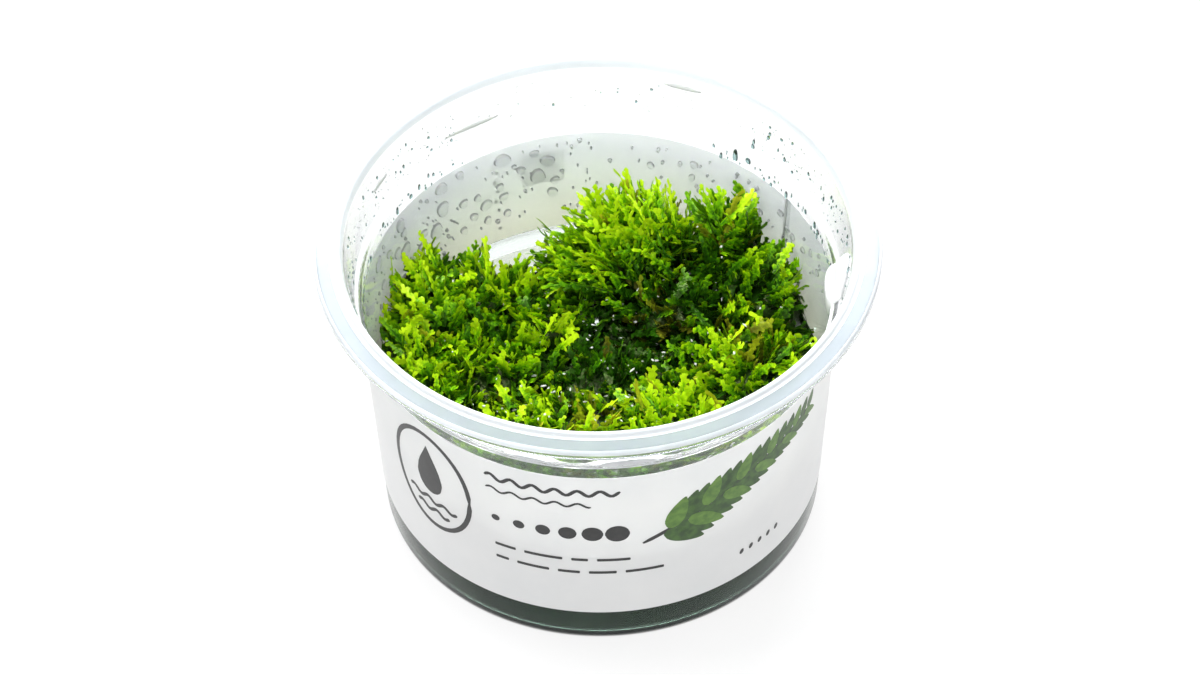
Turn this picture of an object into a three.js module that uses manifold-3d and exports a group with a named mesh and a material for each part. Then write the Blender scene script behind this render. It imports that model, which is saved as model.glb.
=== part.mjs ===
// Coral moss growing on clear gel in an open, clear plastic culture cup.
// Millimetres, +Z up. The origin is on the table, under the middle of the cup. The front is -Y.
import * as THREE from 'three';
import { mergeVertices } from 'three/addons/utils/BufferGeometryUtils.js';
import Module from 'manifold-3d';

const wasm = await Module();
wasm.setup();

// Cup: overall sizes
const FLANGE_RADIUS = 50.5;
const FLANGE_HEIGHT = 61.5;
const MOUTH_RADIUS = 45.1;
const WALL = 0.75;
const ROUND_STEPS = 36;
const ARC_STEPS = 2;

// Cup: floor and foot ring
const FOOT_RING_WIDTH = 2.6;
const FLOOR_RECESS = 0.8;
const CORNER_RADIUS = 1.0;

// Cup: wall, shoulder and lid flange
const LOWER_WALL_RADIUS = 39.93;
const LOWER_WALL_DRAFT = 0.062;
const SHOULDER_HEIGHT = 49.4;
const SHOULDER_RISE = 0.6;
const UPPER_WALL_START = 44.2;
const FLANGE_THICKNESS = 0.9;
const BEAD_RADIUS = 46.6;
const BEAD_RISE = 0.8;
const SKIRT_DROP = 1.9;

// Label band round the wall
const LABEL_BOTTOM = 7.6;
const LABEL_TOP = 46.3;
const LABEL_THICKNESS = 0.3;
const LABEL_SEAM_AZIMUTH = 35;
const LABEL_SEAM_WIDTH = 0.4;

// Gel that the moss grows on
const GEL_TOP = 24.0;
const MENISCUS_WIDTH = 1.6;
const MENISCUS_RISE = 0.7;

// Clearance between pieces that touch
const GAP = 0.3;

// Moss mounds
const MOSS_BOTTOM = GEL_TOP + GAP;
const MOSS_ROOT_RADIUS = 38.0;
const DOME_DETAIL = 2;
const DOME_ROUGHNESS = 0.18;

// Sprays on a mound: how far down its side they go, how upright they lean and how their lengths vary
const SPRAY_SPREAD = 0.8;
const SPRAY_RISE = 0.9;
const SPRAY_RISE_RANGE = 0.3;
const SPRAY_SHORTEST = 0.85;
const SPRAY_LENGTH_RANGE = 0.3;
const SPRAY_ROOTED = 0.25;

// One spray: sizes, then places along it and half widths as shares of its length and width
const SPRAY_THICKNESS = 1.5;
const SPRAY_WIDTH = 8.5;
const STEM_SHARE = 0.12;
const NECK_SHARE = 0.096;
const NECK_LEVEL = 0.84;
const LEFT_LOBES = [0.26, 0.58];
const RIGHT_LOBES = [0.4, 0.7];
const LOBE_START = -0.06;
const LOBE_END = 0.22;
const LOBE_REACH = 0.4;
const LOBE_REACH_RANGE = 0.14;

const FINISHES = {
  cup: { color: 0xf2f5f6, roughness: 0.12 },
  label: { color: 0xf4f4f2, roughness: 0.45 },
  gel: { color: 0xdfe8dc, roughness: 0.08 },
};
const MOSS_ROUGHNESS = 0.4;

// Each tuft fills the part of the cup that lies nearest to its centre.
// A dome is [x, y, half width along X, half width along Y, height of its top].
const TUFTS = [
  {
    name: 'moss_left',
    colour: 0x5c9a12,
    centre: [-24, 5],
    domes: [
      [-28, 9, 13, 16, 30.5],
      [-28, -11, 15, 17, 28.5],
      [-10, 6, 13, 14, 27.5],
    ],
    sprays: 9,
    sprayLength: 8.5,
    seed: 11,
  },
  {
    name: 'moss_tall',
    colour: 0x4d8a14,
    centre: [19, 24],
    domes: [
      [9, 22, 14, 14, 36],
      [23, 22, 13, 14, 37.5],
      [31, 10, 8, 10, 30],
    ],
    sprays: 9,
    sprayLength: 10.5,
    seed: 23,
  },
  {
    name: 'moss_right',
    colour: 0x7fb019,
    centre: [26, -12],
    domes: [
      [26, -6, 14, 14, 29],
      [19, -22, 15, 15, 28],
    ],
    sprays: 8,
    sprayLength: 7,
    seed: 37,
  },
  {
    name: 'moss_front',
    colour: 0x6ba015,
    centre: [-6, -24],
    domes: [
      [-3, -14, 14, 13, 27],
      [-12, -27, 18, 13, 27.5],
    ],
    sprays: 8,
    sprayLength: 7,
    seed: 41,
  },
];

const GOLDEN_ANGLE = Math.PI * (3 - Math.sqrt(5));
const MERGE_DISTANCE = 1e-4;

// A linear congruential generator: the same seed always gives the same numbers from 0 to 1
const GENERATOR_START = 2654435761;
const GENERATOR_FACTOR = 1664525;
const GENERATOR_STEP = 1013904223;
const GENERATOR_RANGE = 2 ** 32;

function randomFrom(seed) {
  let state = seed * GENERATOR_START >>> 0;
  return () => {
    state = (Math.imul(state, GENERATOR_FACTOR) + GENERATOR_STEP) >>> 0;
    return state / GENERATOR_RANGE;
  };
}

function wallRadius(height) {
  return LOWER_WALL_RADIUS + LOWER_WALL_DRAFT * height;
}

// A copy with only positions, and with the corners that faces share merged
function mergedCorners(geometry) {
  const bare = geometry.clone();
  bare.deleteAttribute('normal');
  bare.deleteAttribute('uv');
  return mergeVertices(bare, MERGE_DISTANCE);
}

// A closed solid from a geometry, with the triangles that have no area left out
function solidFrom(geometry) {
  const merged = mergedCorners(geometry);
  const index = merged.index.array;
  const kept = [];
  for (let i = 0; i < index.length; i += 3) {
    const [a, b, c] = [index[i], index[i + 1], index[i + 2]];
    if (a !== b && b !== c && c !== a) kept.push(a, b, c);
  }
  return new wasm.Manifold(new wasm.Mesh({
    numProp: 3,
    vertProperties: new Float32Array(merged.attributes.position.array),
    triVerts: new Uint32Array(kept),
  }));
}

function geometryFrom(solid) {
  const { vertProperties, triVerts } = solid.getMesh();
  const geometry = new THREE.BufferGeometry();
  geometry.setAttribute('position', new THREE.BufferAttribute(new Float32Array(vertProperties), 3));
  geometry.setIndex(new THREE.BufferAttribute(new Uint32Array(triVerts), 1));
  geometry.computeVertexNormals();
  return geometry;
}

// Lobes that a cut has parted from the rest are dropped
function largestBody(solid) {
  return solid.decompose().reduce((most, body) => (body.volume() > most.volume() ? body : most));
}

// Turns a profile of [radius, height] points, listed anticlockwise, about +Z
function turned(points) {
  const geometry = new THREE.LatheGeometry(points, ROUND_STEPS);
  geometry.rotateX(Math.PI / 2);
  return solidFrom(geometry);
}

function cupSolid() {
  const footRadius = wallRadius(CORNER_RADIUS) - CORNER_RADIUS;
  const inside = CORNER_RADIUS - WALL;
  const floorTop = FLOOR_RECESS + WALL;
  const flangeUnder = FLANGE_HEIGHT - FLANGE_THICKNESS;
  const profile = new THREE.Path();
  profile.moveTo(0, FLOOR_RECESS);
  profile.lineTo(footRadius - FOOT_RING_WIDTH - FLOOR_RECESS, FLOOR_RECESS);
  profile.lineTo(footRadius - FOOT_RING_WIDTH, 0);
  profile.lineTo(footRadius, 0);
  profile.absarc(footRadius, CORNER_RADIUS, CORNER_RADIUS, -Math.PI / 2, 0);
  profile.lineTo(wallRadius(SHOULDER_HEIGHT), SHOULDER_HEIGHT);
  profile.lineTo(UPPER_WALL_START, SHOULDER_HEIGHT + SHOULDER_RISE);
  profile.lineTo(MOUTH_RADIUS + WALL, flangeUnder - WALL);
  profile.lineTo(BEAD_RADIUS, flangeUnder);
  profile.lineTo(FLANGE_RADIUS - FLANGE_THICKNESS, flangeUnder);
  profile.lineTo(FLANGE_RADIUS - FLANGE_THICKNESS, FLANGE_HEIGHT - SKIRT_DROP);
  profile.lineTo(FLANGE_RADIUS, FLANGE_HEIGHT - SKIRT_DROP);
  profile.lineTo(FLANGE_RADIUS, FLANGE_HEIGHT - FLANGE_THICKNESS);
  profile.lineTo(FLANGE_RADIUS - FLANGE_THICKNESS / 2, FLANGE_HEIGHT);
  profile.lineTo(BEAD_RADIUS + BEAD_RISE, FLANGE_HEIGHT);
  profile.lineTo(BEAD_RADIUS, FLANGE_HEIGHT + BEAD_RISE);
  profile.lineTo(BEAD_RADIUS - BEAD_RISE, FLANGE_HEIGHT + BEAD_RISE / 2);
  profile.lineTo(MOUTH_RADIUS, flangeUnder - WALL);
  profile.lineTo(UPPER_WALL_START - WALL, SHOULDER_HEIGHT + SHOULDER_RISE + WALL);
  profile.lineTo(wallRadius(SHOULDER_HEIGHT) - WALL, SHOULDER_HEIGHT + WALL);
  profile.lineTo(footRadius + inside, floorTop + inside);
  profile.absarc(footRadius, floorTop + inside, inside, 0, -Math.PI / 2, true);
  profile.lineTo(0, floorTop);
  return turned(profile.getPoints(ARC_STEPS));
}

function labelSolid() {
  const near = (height) => wallRadius(height) + GAP;
  const far = (height) => near(height) + LABEL_THICKNESS;
  const band = turned([
    new THREE.Vector2(near(LABEL_BOTTOM), LABEL_BOTTOM),
    new THREE.Vector2(far(LABEL_BOTTOM), LABEL_BOTTOM),
    new THREE.Vector2(far(LABEL_TOP), LABEL_TOP),
    new THREE.Vector2(near(LABEL_TOP), LABEL_TOP),
    new THREE.Vector2(near(LABEL_BOTTOM), LABEL_BOTTOM),
  ]);
  const height = LABEL_TOP + LABEL_BOTTOM;
  const seam = new THREE.BoxGeometry(FLANGE_RADIUS, LABEL_SEAM_WIDTH, height);
  seam.translate(FLANGE_RADIUS / 2 + WALL, 0, height / 2);
  seam.rotateZ(THREE.MathUtils.degToRad(LABEL_SEAM_AZIMUTH));
  return band.subtract(solidFrom(seam));
}

function gelSolid() {
  const bottom = FLOOR_RECESS + WALL + GAP;
  const side = (height) => wallRadius(height) - WALL - GAP;
  const profile = new THREE.Path();
  const cornerStart = side(bottom) - CORNER_RADIUS;
  profile.moveTo(0, bottom);
  profile.lineTo(cornerStart, bottom);
  profile.absarc(cornerStart, bottom + CORNER_RADIUS, CORNER_RADIUS, -Math.PI / 2, 0);
  profile.lineTo(side(GEL_TOP), GEL_TOP + MENISCUS_RISE);
  profile.lineTo(side(GEL_TOP) - MENISCUS_WIDTH, GEL_TOP);
  profile.lineTo(0, GEL_TOP);
  return turned(profile.getPoints(ARC_STEPS));
}

// The room that the moss can fill: above the gel and inside the wall
function mossRoom() {
  const side = (height) => wallRadius(height) - WALL - GAP;
  const clearOfMeniscus = MOSS_BOTTOM + MENISCUS_RISE;
  return turned([
    new THREE.Vector2(0, MOSS_BOTTOM),
    new THREE.Vector2(MOSS_ROOT_RADIUS, MOSS_BOTTOM),
    new THREE.Vector2(side(clearOfMeniscus), clearOfMeniscus),
    new THREE.Vector2(side(SHOULDER_HEIGHT), SHOULDER_HEIGHT),
    new THREE.Vector2(0, SHOULDER_HEIGHT),
  ]);
}

// The part of a convex outline on the near side of the line midway between two centres
function nearerPart(outline, centre, other) {
  const away = new THREE.Vector2(...other).sub(centre);
  const limit = away.length() / 2 - GAP / 2;
  away.normalize();
  const past = (point) => point.clone().sub(centre).dot(away) - limit;
  return outline.flatMap((point, i) => {
    const next = outline[(i + 1) % outline.length];
    const [here, there] = [past(point), past(next)];
    const kept = here <= 0 ? [point] : [];
    const crossing = here * there < 0 ? [point.clone().lerp(next, here / (here - there))] : [];
    return [...kept, ...crossing];
  });
}

// The upright cell of the cup that lies nearer to one tuft's centre than to the others'
function cellSolid(tuft) {
  const centre = new THREE.Vector2(...tuft.centre);
  const corners = [[-1, -1], [1, -1], [1, 1], [-1, 1]];
  let outline = corners.map(([x, y]) => new THREE.Vector2(x, y).multiplyScalar(FLANGE_RADIUS));
  for (const other of TUFTS) {
    if (other !== tuft) outline = nearerPart(outline, centre, other.centre);
  }
  const cell = new THREE.Shape(outline);
  return solidFrom(new THREE.ExtrudeGeometry(cell, { depth: FLANGE_HEIGHT, bevelEnabled: false }));
}

// A lumpy dome, closed below, so that it can be cut off where it meets the gel
function domeSolid([x, y, halfX, halfY, top], random) {
  const geometry = mergedCorners(new THREE.IcosahedronGeometry(1, DOME_DETAIL));
  const place = geometry.attributes.position;
  for (let i = 0; i < place.count; i++) {
    const swell = 1 + DOME_ROUGHNESS * (2 * random() - 1);
    place.setXYZ(
      i,
      x + halfX * swell * place.getX(i),
      y + halfY * swell * place.getY(i),
      MOSS_BOTTOM + (top - MOSS_BOTTOM) * swell * place.getZ(i),
    );
  }
  return solidFrom(geometry);
}

// The outline of a flat spray, +Y along its stem: a narrow foot and blunt lobes that alternate
function sprayOutline(length, random) {
  const stem = SPRAY_WIDTH * STEM_SHARE;
  const lobeOn = (side, level) => {
    const reach = side * SPRAY_WIDTH * (LOBE_REACH + LOBE_REACH_RANGE * random());
    return [
      [side * stem, length * (level + LOBE_START)],
      [reach, length * (level + LOBE_END)],
    ];
  };
  const left = LEFT_LOBES.flatMap((level) => lobeOn(-1, level));
  const right = RIGHT_LOBES.flatMap((level) => lobeOn(1, level));
  const neck = [SPRAY_WIDTH * NECK_SHARE, length * NECK_LEVEL];
  return [[stem, 0], ...right, neck, [0, length], ...left.reverse(), [-stem, 0]];
}

// A spray from one point towards another, its flat side turned by a twist
function spraySolid(from, to, twist, random) {
  const along = to.clone().sub(from);
  const length = along.length();
  const shape = new THREE.Shape(sprayOutline(length, random).map(([x, y]) => new THREE.Vector2(x, y)));
  const geometry = new THREE.ExtrudeGeometry(shape, { depth: SPRAY_THICKNESS, bevelEnabled: false });
  geometry.translate(0, 0, -SPRAY_THICKNESS / 2);
  geometry.rotateY(twist);
  const turn = new THREE.Quaternion().setFromUnitVectors(new THREE.Vector3(0, 1, 0), along.normalize());
  geometry.applyQuaternion(turn);
  geometry.translate(from.x, from.y, from.z);
  return solidFrom(geometry);
}

// Sprays spread over a dome, from its top down to its sides, each leaning outwards
function domeSprays([x, y, halfX, halfY, top], { sprays, sprayLength }, random) {
  const rise = top - MOSS_BOTTOM;
  const solids = [];
  for (let i = 0; i < sprays; i++) {
    const polar = Math.acos(1 - SPRAY_SPREAD * (i + 0.5) / sprays);
    const azimuth = i * GOLDEN_ANGLE + random();
    const out = new THREE.Vector3(Math.cos(azimuth), Math.sin(azimuth), 0).multiplyScalar(Math.sin(polar));
    const height = MOSS_BOTTOM + rise * Math.cos(polar);
    const surface = new THREE.Vector3(x + halfX * out.x, y + halfY * out.y, height);
    const lean = new THREE.Vector3(out.x, out.y, SPRAY_RISE + SPRAY_RISE_RANGE * random()).normalize();
    const length = sprayLength * (SPRAY_SHORTEST + SPRAY_LENGTH_RANGE * random());
    const foot = surface.clone().addScaledVector(lean, -SPRAY_ROOTED * length);
    const tip = surface.clone().addScaledVector(lean, (1 - SPRAY_ROOTED) * length);
    solids.push(spraySolid(foot, tip, Math.PI * random(), random));
  }
  return solids;
}

function tuftSolid(tuft, room) {
  const random = randomFrom(tuft.seed);
  const parts = tuft.domes.flatMap((dome) => [domeSolid(dome, random), ...domeSprays(dome, tuft, random)]);
  const grown = parts.reduce((whole, part) => whole.add(part));
  return largestBody(grown.intersect(room).intersect(cellSolid(tuft)));
}

function piece(name, solid, finish) {
  const material = new THREE.MeshStandardMaterial({ metalness: 0, ...finish });
  const mesh = new THREE.Mesh(geometryFrom(solid), material);
  mesh.name = name;
  return mesh;
}

const group = new THREE.Group();
group.add(piece('cup', cupSolid(), FINISHES.cup));
group.add(piece('label', labelSolid(), FINISHES.label));
group.add(piece('nutrient_gel', gelSolid(), FINISHES.gel));
const room = mossRoom();
for (const tuft of TUFTS) {
  const finish = { color: tuft.colour, roughness: MOSS_ROUGHNESS };
  group.add(piece(tuft.name, tuftSolid(tuft, room), finish));
}

export default group;
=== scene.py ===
"""Coral moss on clear gel in an open, clear plastic culture cup, on a pale floor."""

from collections import namedtuple
from math import ceil, cos, dist, exp, hypot, pi, radians, sin, sqrt

import bpy
import numpy as np
from mathutils import Matrix, Vector


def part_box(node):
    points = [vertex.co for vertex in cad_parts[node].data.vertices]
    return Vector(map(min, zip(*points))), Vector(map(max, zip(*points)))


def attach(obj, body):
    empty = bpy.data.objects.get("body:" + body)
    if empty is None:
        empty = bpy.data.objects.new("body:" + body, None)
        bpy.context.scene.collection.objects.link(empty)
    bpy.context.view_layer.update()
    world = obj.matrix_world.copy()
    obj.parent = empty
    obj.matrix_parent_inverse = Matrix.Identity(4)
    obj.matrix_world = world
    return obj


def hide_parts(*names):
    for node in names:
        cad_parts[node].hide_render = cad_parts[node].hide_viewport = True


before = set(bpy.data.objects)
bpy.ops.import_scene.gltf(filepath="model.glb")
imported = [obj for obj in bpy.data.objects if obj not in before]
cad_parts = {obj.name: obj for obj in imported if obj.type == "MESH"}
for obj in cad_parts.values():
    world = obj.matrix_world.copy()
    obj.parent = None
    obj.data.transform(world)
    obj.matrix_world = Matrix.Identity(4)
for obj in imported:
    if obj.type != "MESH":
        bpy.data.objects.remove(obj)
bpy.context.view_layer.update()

# The script's unit is the millimetre; Blender's is the metre
MM = 0.001
BODY = "root"

# Cup, as in the frame
CUP_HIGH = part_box("cup")[1]
FLANGE_RADIUS = CUP_HIGH.x / MM
BEAD_TOP = CUP_HIGH.z / MM
BEAD_RISE = 0.8
FLANGE_HEIGHT = BEAD_TOP - BEAD_RISE
FLANGE_THICKNESS = 0.9
FLANGE_BOTTOM = FLANGE_HEIGHT - FLANGE_THICKNESS
SKIRT_DROP = 1.9
BEAD_RADIUS = 46.6
MOUTH_RADIUS = 45.1
WALL = 0.75
LOWER_WALL_RADIUS = 39.93
LOWER_WALL_DRAFT = 0.062
SHOULDER_HEIGHT = 49.4
SHOULDER_RISE = 0.6
SHOULDER_TOP = SHOULDER_HEIGHT + SHOULDER_RISE
UPPER_WALL_START = 44.2
CORNER_RADIUS = 1.0
FOOT_RING_WIDTH = 2.6
FLOOR_RECESS = 0.8
CUP_STEPS = 192

# Label, as in the frame
LABEL_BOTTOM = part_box("label")[0].z / MM
LABEL_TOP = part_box("label")[1].z / MM
LABEL_FILM = 0.14
LABEL_SINK = 0.02
SEAM_AZIMUTH = 35
SEAM_OVERLAP = 0.8

# Gel, as in the frame
MENISCUS_RISE = 0.7
MENISCUS_WIDTH = 1.6
GEL_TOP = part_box("nutrient_gel")[1].z / MM - MENISCUS_RISE
GEL_CLEARANCE = 0.03

# Part of the flange's plate that is thin and lets more light through; its darker, bluish tint is painted
# shade
PLATE_START = 47.6
PLATE_END = 49.9

GOLDEN_ANGLE = pi * (3 - sqrt(5))


def wall_radius(height):
    """Outer radius of the cup's lower wall."""
    return LOWER_WALL_RADIUS + LOWER_WALL_DRAFT * height


def inner_radius(height):
    """Inner radius of the wall at any height between the floor and the flange."""
    heights = [0, SHOULDER_HEIGHT + WALL, SHOULDER_TOP + WALL, FLANGE_BOTTOM]
    outer_radii = [wall_radius(0), wall_radius(SHOULDER_HEIGHT), UPPER_WALL_START, MOUTH_RADIUS + WALL]
    return np.interp(height, heights, outer_radii) - WALL


# Meshes and pieces

def unit(vector):
    """The vector at length 1."""
    return vector / np.linalg.norm(vector)


def new_object(name, data):
    """A new object in the scene."""
    thing = bpy.data.objects.new(name, data)
    bpy.context.scene.collection.objects.link(thing)
    return thing


def add_piece(name, slot, replaced, points, faces, materials, material_of_face=None, sharp_angle=None):
    """A smooth piece of the object, from points in millimetres, which rides on the cup's body."""
    mesh = bpy.data.meshes.new(name)
    mesh.from_pydata((np.asarray(points) * MM).tolist(), [], faces)
    for material in materials:
        mesh.materials.append(material)
    if material_of_face is not None:
        mesh.polygons.foreach_set("material_index", material_of_face)
    mesh.shade_smooth()
    mesh.update()
    if sharp_angle:
        mesh.set_sharp_from_angle(angle=radians(sharp_angle))
    piece = new_object(name, mesh)
    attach(piece, BODY)
    if replaced:
        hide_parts(*replaced)
    return mesh


# The most of a side that a fillet may take
FILLET_SHARE = 0.48
FILLET_STEPS = 5


def rounded(corners):
    """A line through corners of (radius, height, fillet), each rounded by its fillet."""
    places = np.array(corners, float)[:, :2]
    line = [places[0]]
    for before, here, after, corner in zip(places, places[1:], places[2:], corners[1:]):
        reach = min(corner[2], FILLET_SHARE * dist(before, here), FILLET_SHARE * dist(here, after))
        start = here + unit(before - here) * reach
        end = here + unit(after - here) * reach
        for t in np.linspace(0, 1, FILLET_STEPS if reach > 0.01 else 1):
            line.append((1 - t) ** 2 * start + 2 * t * (1 - t) * here + t * t * end)
    line.append(places[-1])
    return np.array(line)


def around(radius, azimuth, height):
    """Points at distances from the cup's axis, azimuths and heights."""
    radius, azimuth, height = np.broadcast_arrays(radius, azimuth, height)
    return np.stack([radius * np.cos(azimuth), radius * np.sin(azimuth), height], axis=-1)


def turns(sides):
    """The angles of points spread evenly round a circle."""
    return np.arange(sides) * 2 * pi / sides


def ring_faces(rings, sides):
    """Faces of a closed form: a first point, rings of points and a last point."""
    last = rings * sides + 1
    top = last - sides
    faces = []
    for i in range(sides):
        j = (i + 1) % sides
        faces.append((0, 1 + i, 1 + j))
        for a in range(1, top, sides):
            faces.append((a + i, a + sides + i, a + sides + j, a + j))
        faces.append((top + i, last, top + j))
    return faces


def tube_faces(loop, sections):
    """Faces of a closed form through sections, whose points go round as in the loop."""
    size = len(loop)
    pairs = list(zip(loop, loop[1:] + loop[:1]))
    last = (sections - 1) * size
    faces = [loop]
    for a in range(0, last, size):
        faces.extend((a + q, a + p, a + size + p, a + size + q) for p, q in pairs)
    faces.append(tuple(last + p for p in reversed(loop)))
    return faces


def joined(meshes):
    """One set of points and faces from several."""
    faces = []
    count = 0
    for mesh in meshes:
        faces.extend(tuple(i + count for i in face) for face in mesh[1])
        count += len(mesh[0])
    return np.concatenate([mesh[0] for mesh in meshes]), faces


def turned(profile):
    """Points and faces of a profile from axis to axis, turned about +Z."""
    radii, heights = profile[1:-1, :, None].transpose(1, 0, 2)
    rings = around(radii, turns(CUP_STEPS), heights).reshape(-1, 3)
    points = np.concatenate([[(0, 0, profile[0, 1])], rings, [(0, 0, profile[-1, 1])]])
    return points, [face[::-1] for face in ring_faces(len(profile) - 2, CUP_STEPS)]


# Materials

# The wet wall and the gel touch, so their faces reflect less than dry ones would
SOFT_REFLECTION = (0.4, 0.42, 0.43, 1)
# The foot reflects little, with a green tint, as part of its painted shade
FOOT_REFLECTION = (0.02, 0.08, 0.07, 1)


class Nodes:
    """Adds nodes; an input is a value or another node's output."""

    def __init__(self, owner):
        owner.use_nodes = True
        self.owner = owner
        self.tree = owner.node_tree
        self.tree.nodes.clear()

    def add(self, kind, inputs=(), **settings):
        node = self.tree.nodes.new(kind)
        for key, value in settings.items():
            setattr(node, key, value)
        for key, value in dict(inputs).items():
            if isinstance(value, bpy.types.NodeSocket):
                self.tree.links.new(value, node.inputs[key])
            else:
                node.inputs[key].default_value = value
        return node

    def place(self, space="Object"):
        return self.add("ShaderNodeTexCoord").outputs[space]

    def height(self, space="Object"):
        return self.add("ShaderNodeSeparateXYZ", {"Vector": self.place(space)}).outputs["Z"]

    def noise(self, scale, detail=3, roughness=0.5):
        values = {"Vector": self.place(), "Scale": scale, "Detail": detail, "Roughness": roughness}
        return self.add("ShaderNodeTexNoise", values).outputs["Fac"]

    def math(self, operation, first, second, clamp=False):
        values = {0: first, 1: second}
        return self.add("ShaderNodeMath", values, operation=operation, use_clamp=clamp).outputs[0]

    def mix(self, factor, first, second, blend="MIX"):
        values = {"Factor": factor, 6: first, 7: second}
        return self.add("ShaderNodeMix", values, data_type="RGBA", blend_type=blend).outputs[2]

    def ramp(self, factor, stops):
        node = self.add("ShaderNodeValToRGB", {"Fac": factor})
        elements = node.color_ramp.elements
        while len(elements) < len(stops):
            elements.new(0.5)
        for element, (position, colour) in zip(elements, stops):
            element.position = position
            element.color = (*colour, 1)
        return node.outputs["Color"]

    def tint(self, scale, dark, light, detail=3, spread=0.2):
        """A colour that varies between two, in patches."""
        stops = [(0.5 - spread, dark), (0.5 + spread, light)]
        return self.ramp(self.noise(scale, detail), stops)

    def bump(self, scale, strength, distance):
        values = {"Height": self.noise(scale), "Strength": strength, "Distance": distance}
        return self.add("ShaderNodeBump", values).outputs["Normal"]

    def surface(self, inputs, volume=None):
        """The owner, with a plain surface and perhaps an absorbing inside."""
        results = {"Surface": self.add("ShaderNodeBsdfPrincipled", inputs).outputs["BSDF"]}
        if volume:
            results["Volume"] = self.add("ShaderNodeVolumeAbsorption", volume).outputs["Volume"]
        self.add("ShaderNodeOutputMaterial", results)
        return self.owner


def new_material(name):
    """The nodes of a new material."""
    return Nodes(bpy.data.materials.new(name))


# Darkest and lightest tints of the plastic
CLEAR_TINTS = ((0.95, 0.97, 0.98), (0.98, 0.99, 1.0))
MILKY_TINTS = ((0.8, 0.84, 0.87), (0.85, 0.89, 0.92))
# The flange plate's darker, bluish tints are painted shade
PLATE_SHADE_TINTS = ((0.52, 0.58, 0.63), (0.58, 0.64, 0.68))
# The foot's dark green-grey tints are painted shade: the dark band seen through the wall below the label
FOOT_SHADE_TINTS = ((0.18, 0.3, 0.24), (0.23, 0.35, 0.28))


def clear_plastic(name, transmission, roughness, tints, reflection=SOFT_REFLECTION):
    """Moulded plastic: clear where it is thin, milky where transmission is low."""
    nodes = new_material(name)
    return nodes.surface({
        "Base Color": nodes.tint(60, *tints),
        "Roughness": roughness,
        "IOR": 1.49,
        "Specular Tint": reflection,
        "Transmission Weight": transmission,
        "Normal": nodes.bump(180, 0.25, 0.0003),
    })


# What both sides of the label's film have in common
FILM_FINISH = {
    "Roughness": 0.38,
    "IOR": 1.46,
    "Subsurface Weight": 1.0,
    "Subsurface Radius": (1, 1, 1),
}


def front_of_label():
    """The film's outer side: satin white, with a little light through it."""
    nodes = new_material("label film")
    return nodes.surface({
        **FILM_FINISH,
        "Base Color": nodes.tint(90, (0.76, 0.765, 0.765), (0.8, 0.8, 0.795)),
        "Subsurface Scale": 0.00025,
        "Normal": nodes.bump(2500, 0.08, 0.00005),
    })


# Heights in metres between which the painted light on the film's inner side changes colour
BACK_FADE_LOW = 0.026
BACK_FADE_HIGH = 0.043
# How far light spreads in the film, in metres, beside the gel and above it
BACK_SPREAD_LOW = 0.0006
BACK_SPREAD_HIGH = 0.00028


def back_of_label():
    """The film's inner side, with painted light: yellowish from the moss beside it, and bluish above it."""
    nodes = new_material("back of the label film")
    height = nodes.height()
    above = nodes.math("SUBTRACT", height, BACK_FADE_LOW)
    share = nodes.math("DIVIDE", above, BACK_FADE_HIGH - BACK_FADE_LOW, clamp=True)
    painted_moss_light = nodes.ramp(share, [(0.0, (0.91, 0.99, 0.79)), (1.0, (0.84, 0.86, 0.87))])
    uneven = nodes.tint(150, (0.96, 0.96, 0.96), (1, 1, 1))
    over_gel = nodes.math("GREATER_THAN", height, GEL_TOP * MM)
    less = nodes.math("MULTIPLY", over_gel, BACK_SPREAD_LOW - BACK_SPREAD_HIGH)
    return nodes.surface({
        **FILM_FINISH,
        "Base Color": nodes.mix(1.0, painted_moss_light, uneven, "MULTIPLY"),
        "Subsurface Scale": nodes.math("SUBTRACT", BACK_SPREAD_LOW, less),
    })


def clear_gel():
    """Clear, wet, faintly green gel."""
    nodes = new_material("clear gel")
    return nodes.surface({
        "Base Color": nodes.tint(120, (0.93, 0.98, 0.93), (0.98, 1.0, 0.98)),
        "Roughness": 0.03,
        "IOR": 1.335,
        "Specular Tint": SOFT_REFLECTION,
        "Transmission Weight": 1.0,
        "Normal": nodes.bump(260, 0.15, 0.0002),
    }, {"Color": (0.5, 0.66, 0.56, 1), "Density": 5})


def ink(name, dark, light):
    """Satin printing ink."""
    nodes = new_material(name)
    tint = nodes.tint(700, dark, light, detail=5, spread=0.15)
    return nodes.surface({"Base Color": tint, "Roughness": 0.4, "IOR": 1.46})


def water(name, dark, light, scale=400, roughness=0.01, transmission=1.0):
    """Condensed water."""
    nodes = new_material(name)
    return nodes.surface({
        "Base Color": nodes.tint(scale, dark, light),
        "Roughness": roughness,
        "IOR": 1.333,
        "Transmission Weight": transmission,
    })


def painted_highlight_water(name, transmission):
    """Water painted mostly white: a painted highlight for the light a rounded drop gathers."""
    return water(name, (0.9, 0.92, 0.94), (1, 1, 1), 300, 0.2, transmission)


# Colours of the moss, from the painted shade of its depths to its growing tips
DEEP_GREEN = (0.004, 0.016, 0.001)
DARK_GREEN = (0.02, 0.1, 0.002)
LEAF_GREEN = (0.13, 0.38, 0.002)
FRESH_GREEN = (0.38, 0.68, 0.003)
TIP_GREEN = (0.53, 0.8, 0.01)
DARK_OLIVE = (0.05, 0.045, 0.004)
OLIVE = (0.2, 0.17, 0.012)
AMBER = (0.42, 0.34, 0.02)
MOTTLE_STRENGTH = 1.1


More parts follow.
